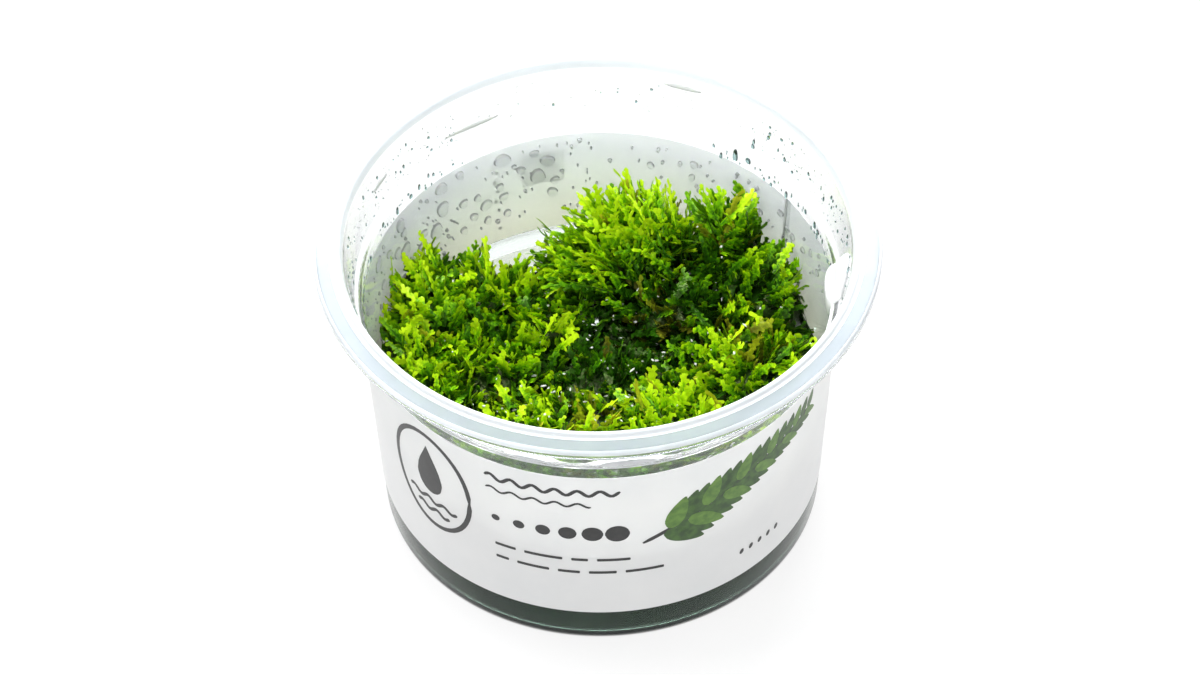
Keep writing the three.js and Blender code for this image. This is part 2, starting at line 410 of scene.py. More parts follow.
def moss_thallus():
    """Wet green thallus; the growth attribute's red is its freshness with painted light and shade, and blue
    how olive it is.
    """
    nodes = new_material("moss thallus")
    growth = nodes.add("ShaderNodeAttribute", attribute_name="growth").outputs["Color"]
    parts = nodes.add("ShaderNodeSeparateColor", {"Color": growth}).outputs
    uneven = nodes.math("SUBTRACT", nodes.noise(1500, 5, 0.75), 0.5)
    mottle = nodes.math("MULTIPLY", uneven, MOTTLE_STRENGTH)
    level = nodes.math("ADD", parts["Red"], mottle, clamp=True)
    stops = [(0.0, DEEP_GREEN), (0.28, DARK_GREEN), (0.52, LEAF_GREEN), (0.76, FRESH_GREEN), (1.0, TIP_GREEN)]
    green = nodes.ramp(level, stops)
    olive = nodes.ramp(level, [(0.0, DARK_OLIVE), (0.5, OLIVE), (1.0, AMBER)])
    return nodes.surface({
        "Base Color": nodes.mix(parts["Blue"], green, olive),
        "Roughness": 0.28,
        "IOR": 1.36,
        "Specular Tint": (0.85, 1.0, 0.45, 1),
        "Subsurface Weight": 0.12,
        "Subsurface Radius": (0.7, 1.0, 0.1),
        "Subsurface Scale": 0.0006,
        "Normal": nodes.bump(2200, 0.7, 0.0002),
    })


# The table's glow by the distance from its middle, in metres: a painted pool of light under the cup, and a
# painted shadow ring under its foot
TABLE_LIGHT = [(0, 1.25), (0.0305, 1.25), (0.0306, 0), (0.0397, 0), (0.0398, 0.85), (0.1, 0.85)]
TABLE_REACH = 0.1
TABLE_STRENGTH = 1.25


def lit_table():
    """White table that glows from below, with a painted pool of light and a painted shadow ring under the
    cup.
    """
    nodes = new_material("lit table")
    reach = nodes.add("ShaderNodeVectorMath", {0: nodes.place()}, operation="LENGTH").outputs["Value"]
    stops = [(distance / TABLE_REACH, (light / TABLE_STRENGTH,) * 3) for distance, light in TABLE_LIGHT]
    light = nodes.ramp(nodes.math("DIVIDE", reach, TABLE_REACH), stops)
    return nodes.surface({
        "Base Color": nodes.tint(8, (0.1, 0.1, 0.1), (0.12, 0.12, 0.12)),
        "Roughness": 0.9,
        "Emission Color": (1, 1, 1, 1),
        "Emission Strength": nodes.math("MULTIPLY", light, TABLE_STRENGTH),
    })


# Cup

def cup_zones(points, faces, foot):
    """Which plastic each face has, by its place in make_cup's list."""
    middles = np.array([np.mean([points[i] for i in face], axis=0) for face in faces])
    heights = middles[:, 2]
    radii = np.hypot(middles[:, 0], middles[:, 1])
    milky = heights > FLANGE_BOTTOM - 0.5 * WALL
    plate = milky & (radii > PLATE_START) & (radii < PLATE_END)
    damp = heights > LABEL_TOP
    foot_wall = (heights < LABEL_BOTTOM) & (radii > foot)
    return np.select([plate, milky, damp, foot_wall], [3, 2, 1, 4], 0)


def make_cup():
    """The moulded cup: a clear wall and floor, and a milky flange."""
    foot = wall_radius(CORNER_RADIUS) - CORNER_RADIUS
    inside = CORNER_RADIUS - WALL
    floor_top = FLOOR_RECESS + WALL
    skirt = FLANGE_RADIUS - FLANGE_THICKNESS
    skirt_bottom = FLANGE_HEIGHT - SKIRT_DROP
    profile = rounded([
        (0, FLOOR_RECESS, 0),
        (foot - FOOT_RING_WIDTH - FLOOR_RECESS, FLOOR_RECESS, 0.5),
        (foot - FOOT_RING_WIDTH, 0, 0.5),
        (wall_radius(0), 0, CORNER_RADIUS),
        (wall_radius(LABEL_BOTTOM), LABEL_BOTTOM, 0),
        (wall_radius(LABEL_TOP), LABEL_TOP, 0),
        (wall_radius(SHOULDER_HEIGHT), SHOULDER_HEIGHT, 0.9),
        (UPPER_WALL_START, SHOULDER_TOP, 0.7),
        (MOUTH_RADIUS + WALL, FLANGE_BOTTOM - WALL, 0.9),
        (BEAD_RADIUS, FLANGE_BOTTOM, 0.5),
        (skirt, FLANGE_BOTTOM, 0.35),
        (skirt, skirt_bottom, 0.25),
        (FLANGE_RADIUS, skirt_bottom, 0.25),
        (FLANGE_RADIUS, FLANGE_HEIGHT, 0.9),
        (BEAD_RADIUS + BEAD_RISE, FLANGE_HEIGHT, 0.6),
        (BEAD_RADIUS, FLANGE_HEIGHT + BEAD_RISE, 0.6),
        (BEAD_RADIUS - BEAD_RISE, FLANGE_HEIGHT + BEAD_RISE / 2, 0.5),
        (MOUTH_RADIUS, FLANGE_BOTTOM - WALL, 1.2),
        (UPPER_WALL_START - WALL, SHOULDER_TOP + WALL, 0.7),
        (wall_radius(SHOULDER_HEIGHT) - WALL, SHOULDER_HEIGHT + WALL, 0.9),
        (wall_radius(0) - WALL, floor_top, inside),
        (0, floor_top, 0),
    ])
    points, faces = turned(profile)
    materials = [
        clear_plastic("clear plastic", 0.985, 0.04, CLEAR_TINTS),
        clear_plastic("damp plastic", 0.97, 0.09, CLEAR_TINTS),
        clear_plastic("milky plastic", 0.45, 0.3, MILKY_TINTS),
        clear_plastic("flange plate plastic with painted shade", 0.65, 0.2, PLATE_SHADE_TINTS),
        clear_plastic("foot plastic with painted shade", 0.985, 0.15, FOOT_SHADE_TINTS, FOOT_REFLECTION),
    ]
    zones = cup_zones(points, faces, foot)
    add_piece("clear_cup", "cup", ["cup"], points, faces, materials, zones)


# Label

def label_point(azimuth, height, lift):
    """Points on the cup's outer wall, or lifted off it."""
    return around(wall_radius(height) + lift, azimuth, height)


def make_label():
    """The film goes once round the wall, and its end overlaps its start."""
    start = radians(SEAM_AZIMUTH)
    overlap = radians(SEAM_OVERLAP)
    azimuths = start + np.append(turns(CUP_STEPS), [2 * pi, 2 * pi + overlap])
    past = np.clip(1 + (azimuths - start - 2 * pi) / overlap, 0, 1)
    lift = past * (LABEL_FILM + LABEL_SINK) - LABEL_SINK
    edges = []
    for height in (LABEL_BOTTOM, LABEL_TOP):
        edges += [label_point(azimuths, height, lift), label_point(azimuths, height, lift + LABEL_FILM)]
    points = np.stack(edges, axis=1).reshape(-1, 3)
    faces = tube_faces((0, 1, 3, 2), len(azimuths))
    inner_side = np.zeros(len(faces), int)
    inner_side[4:-1:4] = 1
    films = [front_of_label(), back_of_label()]
    add_piece("wrapped_label", "label", ["label"], points, faces, films, inner_side, sharp_angle=40)


# Print on the label: a plain, generic pattern

# Places on the label are distances round the front from its middle, and heights
FRONT = -pi / 2
PRINT_RADIUS = wall_radius((LABEL_BOTTOM + LABEL_TOP) / 2)
INK_LOW = LABEL_FILM - LABEL_SINK - 0.01
INK_HIGH = LABEL_FILM - LABEL_SINK + 0.025
OVERPRINT_HIGH = INK_HIGH + 0.015

BADGE_PLACE = (-34, 31)
BADGE_HALF_SIZE = (9.2, 12.5)
WAVE_TURN = 1.6
DOT_ROW = (-19.5, 30.5)
DOT_STEP = 4.4
DASH_START = -20.0
DASH_GAP = 1.6
DASH_ROWS = [(23.0, (4, 7, 3, 6)), (19.4, (2.5, 6, 4, 5, 7))]
SMALL_DOT_ROW = (27, 14.5)
SMALL_DOT_STEP = 2.2

SPRIG_START = (7, 27)
SPRIG_REACH = (37, 13)
SPRIG_BOW = 2.5
SPRIG_LEAVES = 30
LEAF_SIZE = 4.3
LEAF_WIDTH_SHARE = 0.52
LEAF_TILT = 1.2
LEAF_SPREAD = 0.85

BACK_PRINT_AZIMUTH = 98
BACK_LINE_LENGTH = 8.5
BACK_DOTS_PLACE = (13, 27)
BACK_DOTS_STEP = 2.3


def inked(sections, top=INK_HIGH):
    """A thin closed layer of ink between pairs of places on the label."""
    points = []
    for pair in sections:
        for along, height in pair:
            for lift in (INK_LOW, top):
                points.append(label_point(FRONT + along / PRINT_RADIUS, height, lift))
    return points, tube_faces((0, 1, 3, 2), len(sections))


def stroke(line, width):
    """A line of ink of even width, with narrower ends."""
    line = np.array(line, float)
    along = np.gradient(line, axis=0)
    along /= np.linalg.norm(along, axis=1)[:, None]
    across = np.stack([-along[:, 1], along[:, 0]], axis=1) * width / 2
    taper = np.ones(len(line))
    taper[[0, -1]] = 0.5
    across *= taper[:, None]
    return inked([(middle - half, middle + half) for middle, half in zip(line, across)])


OVAL_STEPS = 60


def oval(centre, half_length, half_width, tilt, point=0.0, top=INK_HIGH):
    """A filled oval; point is how much its upper end narrows to a tip."""
    turn = np.linspace(0, 2 * pi, OVAL_STEPS + 1)
    narrow = 1 - point * (0.5 + 0.5 * np.sin(turn)) ** 1.5
    x = half_width * np.cos(turn) * narrow
    y = half_length * np.sin(turn)
    along = centre[0] + x * cos(tilt) + y * sin(tilt)
    height = centre[1] - x * sin(tilt) + y * cos(tilt)
    sections = []
    for place in np.linspace(along.min() + 0.02, along.max() - 0.02, 15):
        crossings = []
        for i in range(OVAL_STEPS):
            if (along[i] - place) * (along[i + 1] - place) <= 0 and along[i] != along[i + 1]:
                share = (place - along[i]) / (along[i + 1] - along[i])
                crossings.append(height[i] + share * (height[i + 1] - height[i]))
        sections.append(((place, min(crossings)), (place, max(crossings))))
    return inked(sections, top)


def dash(start, length, height, width):
    """A straight, level stroke."""
    ends = np.array([0, 0.1, 0.3])
    along = np.concatenate([ends, np.linspace(0.6, length - 0.6, 8), length - ends[::-1]])
    return stroke(np.stack([start + along, np.full(len(along), height)], axis=1), width)


def wave(start, length, height, swing, count=40):
    """Points of a wavy line."""
    along = np.linspace(0, length, count)
    return np.stack([start + along, height + swing * np.sin(along * WAVE_TURN)], axis=1)


def badge_print():
    """A ring with a drop over two ripples."""
    x, y = BADGE_PLACE
    half_width, half_height = BADGE_HALF_SIZE
    turn = np.linspace(0, 2 * pi, 49)
    ring = np.stack([x + half_width * np.cos(turn), y + half_height * np.sin(turn)], axis=1)
    shapes = [stroke(ring, 1.0), oval((x, y + 3), 6.5, 3.9, 0.0, 0.9)]
    for height, length in ((25.2, 12), (22.6, 8)):
        shapes.append(stroke(wave(x - length / 2, length, height, 0.5), 0.8))
    return shapes


def line_print():
    """Two waves, growing dots, two rows of dashes and a row of small dots."""
    shapes = [stroke(wave(-21, 24, 42.0, 0.7, 60), 0.75), stroke(wave(-21, 19, 38.6, 0.5, 50), 0.5)]
    for i in range(6):
        size = 0.8 + 0.28 * i
        shapes.append(oval((DOT_ROW[0] + DOT_STEP * i, DOT_ROW[1]), size, size, 0.0))
    for height, lengths in DASH_ROWS:
        start = DASH_START
        for length in lengths:
            shapes.append(dash(start, length, height, 0.7))
            start += length + DASH_GAP
    for i in range(5):
        shapes.append(oval((SMALL_DOT_ROW[0] + SMALL_DOT_STEP * i, SMALL_DOT_ROW[1]), 0.7, 0.45, 0.3))
    return shapes


def sprig_place(level):
    """A point of the sprig's stem, from foot to tip."""
    bow = SPRIG_BOW * sin(3 * level)
    return np.array([SPRIG_START[0] + SPRIG_REACH[0] * level, SPRIG_START[1] + SPRIG_REACH[1] * level + bow])


def sprig_print():
    """A leafy sprig: its stem, then its darker and its lighter leaves."""
    stem = [sprig_place(level) for level in np.linspace(0, 1, 30)]
    leaves = ([], [])
    for i in range(SPRIG_LEAVES):
        level = 0.1 + 0.88 * i / (SPRIG_LEAVES - 1)
        side = 1 if i % 2 else -1
        size = LEAF_SIZE * (1.05 - 0.6 * level)
        tilt = LEAF_TILT - side * LEAF_SPREAD
        middle = sprig_place(level) + np.array([sin(tilt), cos(tilt)]) * size * 1.05
        layer = i % 3 % 2
        top = OVERPRINT_HIGH if layer else INK_HIGH
        leaves[layer].append(oval(middle, size, LEAF_WIDTH_SHARE * size, tilt, 0.55, top))
    return [stroke(stem, 0.9)], leaves[0], leaves[1]


def back_print():
    """A finely ruled block and a column of dots at the back."""
    start = (radians(BACK_PRINT_AZIMUTH) - FRONT) * PRINT_RADIUS
    shapes = []
    for height in np.linspace(35.5, 42.5, 13):
        shapes.append(stroke([(start + step, height) for step in np.linspace(0, BACK_LINE_LENGTH, 8)], 0.2))
    for i in range(7):
        along = start + BACK_DOTS_PLACE[0] + 0.5 * (i % 2)
        shapes.append(oval((along, BACK_DOTS_PLACE[1] + BACK_DOTS_STEP * i), 0.4, 0.4, 0.0))
    return shapes


def make_print():
    """All the ink on the label, in four inks."""
    stem, dark_leaves, light_leaves = sprig_print()
    layers = [badge_print() + line_print() + stem, dark_leaves, light_leaves, back_print()]
    inks = [
        ink("dark ink", (0.02, 0.02, 0.02), (0.03, 0.03, 0.03)),
        ink("deep green ink", (0.02, 0.06, 0.01), (0.05, 0.13, 0.015)),
        ink("green ink", (0.06, 0.15, 0.015), (0.12, 0.25, 0.03)),
        ink("grey ink", (0.5, 0.55, 0.54), (0.55, 0.6, 0.59)),
    ]
    points, faces = joined(sum(layers, []))
    layer_of_face = []
    for number, shapes in enumerate(layers):
        layer_of_face += [number] * sum(len(shape[1]) for shape in shapes)
    add_piece("label_print", "label", (), points, faces, inks, layer_of_face, sharp_angle=40)


# Gel

def make_gel():
    """The gel on the cup's floor, whose edge creeps up the wall."""
    bottom = FLOOR_RECESS + WALL + GEL_CLEARANCE
    edge = inner_radius(GEL_TOP) - GEL_CLEARANCE
    profile = rounded([
        (0, bottom, 0),
        (inner_radius(bottom) - GEL_CLEARANCE, bottom, CORNER_RADIUS),
        (edge, GEL_TOP + MENISCUS_RISE, 0.2),
        (edge - 0.4 * MENISCUS_WIDTH, GEL_TOP + 0.2 * MENISCUS_RISE, 0.6),
        (edge - MENISCUS_WIDTH, GEL_TOP, 0.8),
        (0, GEL_TOP, 0),
    ])
    add_piece("clear_gel", "nutrient_gel", ["nutrient_gel"], *turned(profile), [clear_gel()])


# Moss fronds

FROND_LENGTH = 8.0
AXIS_LEVELS = np.array([0, 0.25, 0.5, 0.75, 0.94])
AXIS_WIDTHS = np.array([0.6, 0.9, 1.0, 1.1, 0.95])
RIDGE_RISE = 0.17
# Painted light: the thin margins are lighter than the midribs, as if light shone through them
MARGIN_GLOW = 0.19

Family = namedtuple("Family", "kinds lobes axis_width lobe_width lobe_reach")
COMB_FRONDS = Family(14, 9, 0.75, 1.0, 1.4)
LONG_FRONDS = Family(20, 10, 1.15, 1.25, 1.2)
SHORT_FRONDS = Family(20, 7, 1.45, 1.65, 1.5)
SIMPLE_FRONDS = Family(10, 4, 1.3, 1.3, 1.3)
FAMILIES = (COMB_FRONDS, LONG_FRONDS, SHORT_FRONDS, SIMPLE_FRONDS)

Ribbon = namedtuple("Ribbon", "start angle length half_width slope curl sway base_growth tip_growth")


def ribbon_axes(ribbon):
    """The directions across and along a ribbon, and its normal."""
    across = np.array([cos(ribbon.angle), -sin(ribbon.angle), 0])
    along = np.array([sin(ribbon.angle), cos(ribbon.angle), ribbon.slope])
    return across, along, np.array([0, 0, 1.0])


def ribbon_middle(ribbon, steps):
    """Points of a ribbon's middle line, which bends more towards its tip."""
    across, along, normal = ribbon_axes(ribbon)
    straight = ribbon.start + np.outer(steps * ribbon.length, along)
    return straight + np.outer(steps ** 2 * ribbon.curl, normal) + np.outer(steps ** 2 * ribbon.sway, across)


def axis_mesh(ribbon):
    """A flat ribbon with a low ridge on one side and a blunt tip."""
    across, _, normal = ribbon_axes(ribbon)
    middle = ribbon_middle(ribbon, np.append(AXIS_LEVELS, 1))
    points = []
    for centre, width in zip(middle, AXIS_WIDTHS):
        half = across * width * ribbon.half_width
        points += [centre - half, centre + normal * RIDGE_RISE * width, centre + half]
    points.append(middle[-1])
    faces = [(2, 1, 0)]
    tip = len(points) - 1
    for k, after in ((0, 1), (1, 2), (2, 0)):
        faces += [(a + k, a + after, a + 3 + after, a + 3 + k) for a in range(0, tip - 3, 3)]
        faces.append((tip - 3 + k, tip - 3 + after, tip))
    levels = np.append(np.repeat(AXIS_LEVELS, 3), 1)
    growth = ribbon.base_growth + (ribbon.tip_growth - ribbon.base_growth) * levels
    growth[:-1] += np.tile([MARGIN_GLOW, -MARGIN_GLOW, MARGIN_GLOW], len(AXIS_LEVELS))
    return np.array(points), faces, growth


def lobe_mesh(ribbon):
    """A short, flat lobe with a blunt end and a ridge at its foot."""
    across, _, normal = ribbon_axes(ribbon)
    foot, shoulder, tip = ribbon_middle(ribbon, np.array([0, 0.82, 1]))
    half = across * ribbon.half_width
    ridge = foot + normal * RIDGE_RISE
    points = np.array([foot - 0.8 * half, ridge, foot + 0.8 * half, shoulder - half, tip, shoulder + half])
    faces = [(2, 1, 0), (0, 1, 3), (1, 4, 3), (1, 5, 4), (1, 2, 5), (2, 0, 3, 4, 5)]
    low = ribbon.base_growth
    margin = ribbon.tip_growth + MARGIN_GLOW
    growth = np.array([low, low - MARGIN_GLOW, low, margin, margin, margin])
    return points, faces, growth


def frond_kind(rng, family):
    """A flat frond: an axis with blunt lobes on alternate sides, some of them forked."""
    axis = Ribbon(
        start=(0, 0, 0),
        angle=rng.uniform(-0.1, 0.1),
        length=FROND_LENGTH,
        half_width=family.axis_width * rng.uniform(0.36, 0.54),
        slope=0,
        curl=rng.uniform(-0.8, 1.0),
        sway=rng.uniform(-1.2, 1.2),
        base_growth=0,
        tip_growth=0.9,
    )
    ribbons = [axis_mesh(axis)]
    side = rng.choice([-1, 1])
    for i in range(family.lobes):
        level = 0.14 + 0.82 * (i + rng.uniform(-0.3, 0.3)) / (family.lobes - 1)
        swell = 0.6 + 0.4 * sin(pi * min(level, 0.7))
        reach = axis.half_width + family.lobe_reach * swell * rng.uniform(0.45, 1.05)
        straight = level * FROND_LENGTH * ribbon_axes(axis)[1]
        lobe = Ribbon(
            start=straight + np.array([axis.sway, 0, axis.curl]) * level ** 2,
            angle=side * rng.uniform(0.6, 1.1) * (1.2 - 0.55 * level),
            length=reach,
            half_width=family.lobe_width * rng.uniform(0.27, 0.4),
            slope=rng.uniform(-0.2, 0.3),
            curl=rng.uniform(-0.2, 0.3),
            sway=-side * rng.uniform(0, 0.25),
            base_growth=0.75 * level,
            tip_growth=min(1, 0.5 + 0.5 * level),
        )
        ribbons.append(lobe_mesh(lobe))
        if rng.random() < 0.18:
            fork = lobe._replace(
                start=lobe.start + ribbon_axes(lobe)[1] * reach * 0.5,
                angle=lobe.angle - side * rng.uniform(0.6, 0.9),
                length=reach * rng.uniform(0.5, 0.75),
                half_width=lobe.half_width * 0.9,
                base_growth=lobe.tip_growth * 0.8,
            )
            ribbons.append(lobe_mesh(fork))
        side = -side
    return *joined(ribbons), np.concatenate([ribbon[2] for ribbon in ribbons])


# A clump's place, half sizes, top and lean, and its fronds' length, freshness with painted light and shade,
# and count
Clump = namedtuple("Clump", "x y half_x half_y top lean_x lean_y length fresh fronds")

MOSS_BASE = GEL_TOP - 1.5
TUFTS = {
    "moss_left": [
        Clump(-33, 16.5, 9, 11, 35.7, -0.4, 0.25, 7, 1, 310),
        Clump(-35.5, 4, 6, 10, 32.3, -0.35, 0.05, 6.6, 1, 140),
        Clump(-23, 20, 10, 8, 32.5, -0.1, 0.3, 7, 0.9, 220),
        Clump(-31, -7, 10, 13, 30.5, -0.25, -0.1, 6.3, 0.95, 300),
        Clump(-20, 3, 12, 11, 28.5, 0, -0.15, 5.9, 0.75, 320),
        Clump(-12, 17, 9, 8, 28.5, 0, 0.2, 5.9, 0.8, 170),
        Clump(-9, 8.5, 5.5, 2.6, 33, 0, -0.15, 5, 1.9, 52),
        Clump(-10.5, 26, 1, 1, 33, -0.05, 0.1, 9.2, 0.9, 3),
    ],
    "moss_tall": [
        Clump(1.5, 26, 10, 9, 38.5, -0.7, 0.2, 9.8, 1.07, 310),
        Clump(9.5, 28, 8, 8, 41.8, -0.25, 0.2, 9.6, 1.02, 300),
        Clump(25.5, 27, 6.3, 7.5, 42.7, 0.1, 0.2, 8.4, 0.72, 280),
        Clump(31, 16.5, 8, 10, 36.3, 0.6, 0.1, 7, 0.82, 230),
        Clump(14, 15, 11, 8, 31.5, 0, -0.3, 5.4, 0.42, 230),
    ],
    "moss_right": [
        Clump(28, -2, 12, 11, 32.6, 0.1, 0, 5.6, 0.95, 430),
        Clump(12, -11, 9, 8, 28.5, -0.1, -0.1, 5.6, 1.15, 230),
        Clump(20, -20, 12, 11, 28.5, 0, -0.15, 5.2, 1.15, 320),
        Clump(33, -16, 6, 9, 27.5, 0.05, -0.1, 5.2, 1.15, 150),
        Clump(14, 2, 10, 7, 27, 0, 0, 4, 0.42, 260),
    ],
    "moss_front": [
        Clump(-3, -13, 10, 9, 27.5, 0, 0, 5, 1.05, 250),
        Clump(-15, -15, 11, 11, 28, 0, -0.1, 5.2, 1.05, 290),
        Clump(-3, -26, 14, 9, 27.5, 0, -0.1, 5, 1.15, 300),
        Clump(-20, -26, 10, 9, 28, -0.1, -0.1, 5.2, 1.1, 230),
        Clump(-2, 0, 10, 9, 26.5, 0, 0, 4, 0.3, 280),
    ],
}
FROND_ROOTED = 0.55
INNER_SHRINK = 0.4
FROND_TURN = 0.25
FROND_TWIST = 0.5
BUNDLE_FRONDS = 8
BUNDLE_SPREAD = 1.5
BUNDLE_LEAN = 0.62
BUNDLE_TURN = 0.25
WALL_CLEARANCE = 0.3


def frond_placing(rng, clump, i, bundles):
    """A frond's foot, its axes, its length and how deep in the clump it lies."""
    bundle = bundles[i % len(bundles)]
    offset = rng.normal(0, BUNDLE_SPREAD, 3)
    depth = rng.random() ** 2
    scale = 1 - INNER_SHRINK * depth
    surface = np.array([clump.x, clump.y, MOSS_BASE]) + (bundle.place + offset) * scale
    surface[2] = max(surface[2], MOSS_BASE)
    along = unit(bundle.along + rng.normal(0, FROND_TURN, 3))
    across = unit(np.cross(along, bundle.facing + rng.normal(0, FROND_TWIST, 3)))
    normal = np.cross(across, along)
    length = clump.length * rng.uniform(0.7, 1.15)
    foot = surface - along * length * FROND_ROOTED
    return foot, np.array([across, along, normal]), length, depth


Bundle = namedtuple("Bundle", "place along facing fresh")


def clump_bundles(rng, clump):
    """Bundles of much the same direction, spread evenly over a clump's dome."""
    count = ceil(clump.fronds / BUNDLE_FRONDS)
    bundles = []
    for i in range(count):
        polar_cosine = 1 - 1.1 * (i + 0.5) / count
        polar_sine = sqrt(max(0, 1 - polar_cosine ** 2))
        azimuth = GOLDEN_ANGLE * i + rng.uniform(-0.4, 0.4)
        radial = np.array([cos(azimuth), sin(azimuth), 0])
        reach = rng.uniform(0.85, 1.1)
        rise = (clump.top - MOSS_BASE) * max(polar_cosine, 0.05)
        place = np.array([clump.half_x * polar_sine * radial[0], clump.half_y * polar_sine * radial[1], rise])
        lean = np.array([clump.lean_x, clump.lean_y, 0.75]) + radial * polar_sine * BUNDLE_LEAN
        lean += rng.normal(0, BUNDLE_TURN, 3)
        facing = radial * (0.3 + 0.5 * polar_sine) + np.array([0, -0.75, 0.4]) + rng.normal(0, 0.4, 3)
        bundles.append(Bundle(place * reach, unit(lean), facing, rng.uniform(0.8, 1.2)))
    return bundles


def frond_points(rng, kind_points, foot, axes, length):
    """A frond kind scaled, bent and set in its place."""
    size = length / FROND_LENGTH
    width = sqrt(size) * rng.uniform(0.85, 1.15) * rng.choice([-1, 1])
    local = kind_points * np.array([width, size, size])
    level = local[:, 1] / length
    local[:, 2] += rng.uniform(-0.2, 0.15) * length * level ** 2
    local[:, 0] += rng.uniform(-0.15, 0.15) * length * level ** 2
    return foot + local @ axes


def kept_inside_wall(points):
    """The points, with those past the wall pressed against it."""
    radius = np.hypot(points[:, 0], points[:, 1])
    limit = inner_radius(points[:, 2]) - WALL_CLEARANCE
    points[:, :2] *= np.minimum(1, limit / np.maximum(radius, 1e-6))[:, None]
    return points


MAT_FRONDS = 900
MAT_RADIUS = 38.5
MAT_LOW = 21.5
MAT_HIGH = 25.3
MAT_LENGTH = 5.0
BARE_GEL = (-14, 33, 11, 10)


def nearest_tuft(x, y):
    """The tuft with the clump nearest to a place on the gel."""
    return min(TUFTS, key=lambda node: min(hypot(x - clump.x, y - clump.y) for clump in TUFTS[node]))


def mat_placings():
    """Creeping fronds in the top of the gel, except in the bare patch at the back."""
    rng = np.random.default_rng(61)
    placings = {node: [] for node in TUFTS}
    x_bare, y_bare, half_x, half_y = BARE_GEL
    for i in range(MAT_FRONDS):
        radius = MAT_RADIUS * sqrt((i + 0.5) / MAT_FRONDS)
        x = radius * cos(i * GOLDEN_ANGLE)
        y = radius * sin(i * GOLDEN_ANGLE)
        if ((x - x_bare) / half_x) ** 2 + ((y - y_bare) / half_y) ** 2 < 1:
            continue
        heading = rng.uniform(0, 2 * pi)
        along = unit(np.array([cos(heading), sin(heading), rng.uniform(-0.05, 0.3)]))
        across = unit(np.cross(along, np.array([0, 0, 1]) + rng.normal(0, 0.3, 3)))
        foot = np.array([x, y, rng.uniform(MAT_LOW, MAT_HIGH)]) - along * MAT_LENGTH * 0.5
        axes = np.array([across, along, np.cross(across, along)])
        placings[nearest_tuft(x, y)].append((foot, axes, MAT_LENGTH))
    return placings


CORE_SIDES = 22
CORE_RINGS = 8
CORE_BOTTOM = 21.6
CORE_MIDDLE = CORE_BOTTOM + 1.2
# Cores and the low mat take the darkest colour, as painted shade.
CORE_SHADE = 0.0
# A core's share of its clump's half sizes and rise; a clump with few fronds has none
CORE_WIDTH_SHARE = 0.72
CORE_RISE_SHARE = 0.62
CORE_LEAST_FRONDS = 50

# Low mat of old, dark moss, coloured near black as painted shade: tuft, centre and half sizes
OLD_SHADE_MAT_TOP = GEL_TOP - 0.4
OLD_SHADE_MAT = [
    ("moss_left", -25, 2, 16, 18),
    ("moss_tall", 18, 20, 19, 15),
    ("moss_right", 22, -10, 17, 20),
    ("moss_front", -5, -14, 22, 22),
    ("moss_front", -2, 4, 14, 12),
]


def ball(rings, sides):
    """Polar angles and turns of the points between a ball's poles."""
    polar = np.repeat(np.arange(1, rings) * pi / rings, sides)
    return polar, np.tile(turns(sides), rings - 1)


def lump(rng, x, y, half_x, half_y, top):
    """A closed, uneven dome of old, dark moss, coloured near black as painted shade; its underside is in the
    gel.
    """
    waves = rng.uniform(0, 2 * pi, 4)
    polar, turn = ball(CORE_RINGS, CORE_SIDES)
    uneven = 1 + 0.1 * np.sin(3 * turn + waves[0]) + 0.07 * np.sin(5 * turn + 2 * polar + waves[1])
    ripple = 0.5 * np.sin(4 * turn + waves[2]) * np.sin(3 * polar + waves[3])
    rise = np.cos(polar)
    lift = np.where(rise > 0, rise * (top - CORE_MIDDLE) + ripple, rise * (CORE_MIDDLE - CORE_BOTTOM))
    reach = np.sin(polar) ** 0.7 * uneven
    across = half_x * reach * np.cos(turn)
    along = half_y * reach * np.sin(turn)
    sides = np.stack([x + across, y + along, CORE_MIDDLE + lift], axis=1)
    points = kept_inside_wall(np.concatenate([[(x, y, top)], sides, [(x, y, CORE_BOTTOM)]]))
    return points, ring_faces(CORE_RINGS - 1, CORE_SIDES), np.full(len(points), CORE_SHADE)


def old_growth_and_shade():
    """The dark inside of each clump, and the low dark mat between the clumps, both coloured near black as
    painted shade.
    """
    rng = np.random.default_rng(7)
    cores = {node: [] for node in TUFTS}
    for node, clumps in TUFTS.items():
        for clump in clumps:
            if clump.fronds < CORE_LEAST_FRONDS:
                continue
            half_x = CORE_WIDTH_SHARE * clump.half_x
            half_y = CORE_WIDTH_SHARE * clump.half_y
            top = MOSS_BASE + CORE_RISE_SHARE * (clump.top - MOSS_BASE)
            cores[node].append(lump(rng, clump.x, clump.y, half_x, half_y, top))
    for node, x, y, half_x, half_y in OLD_SHADE_MAT:
        cores[node].append(lump(rng, x, y, half_x, half_y, OLD_SHADE_MAT_TOP))
    return cores


# A frond's axis comes first in its mesh, so this is its tip
AXIS_TIP = 3 * len(AXIS_LEVELS)
# Shares of fronds with a drop at the tip, below and above a height
WET_HEIGHT = 30
WET_SHARE = 0.13
DRY_SHARE = 0.02
DROP_OFFSET = np.array([0, -0.1, 0.2])

# Colour level at a frond's foot, what height adds as painted light, and what its tips add; the mat's levels
# are low, as painted shade in the gel
CLUMP_LEVELS = np.array([0.05, 0.42, 0.72])
MAT_LEVELS = np.array([0.02, 0.05, 0.18])

# Painted shade: the moss darkens towards the front wall, where the label shades it
FRONT_SHADE_REACH = (-25, -15)
FRONT_SHADE_LEVELS = (0.45, 1)

OLIVE_SHARE = 0.025
OLIVE_STRENGTH = 0.7
# Centres of the places where many fronds are olive, and their radius
OLIVE_PLACES = [(11, 13), (22, 8), (27, 3), (-3, -11), (24, -16)]
OLIVE_RADIUS = 4.5
OLIVE_PLACE_SHARE = 0.45


def clump_family(clump):
    """Tall clumps have thin, comb-like fronds, and low ones stout fronds."""
    if clump.length > 9:
        return COMB_FRONDS
    return LONG_FRONDS if clump.length > 6 else SHORT_FRONDS


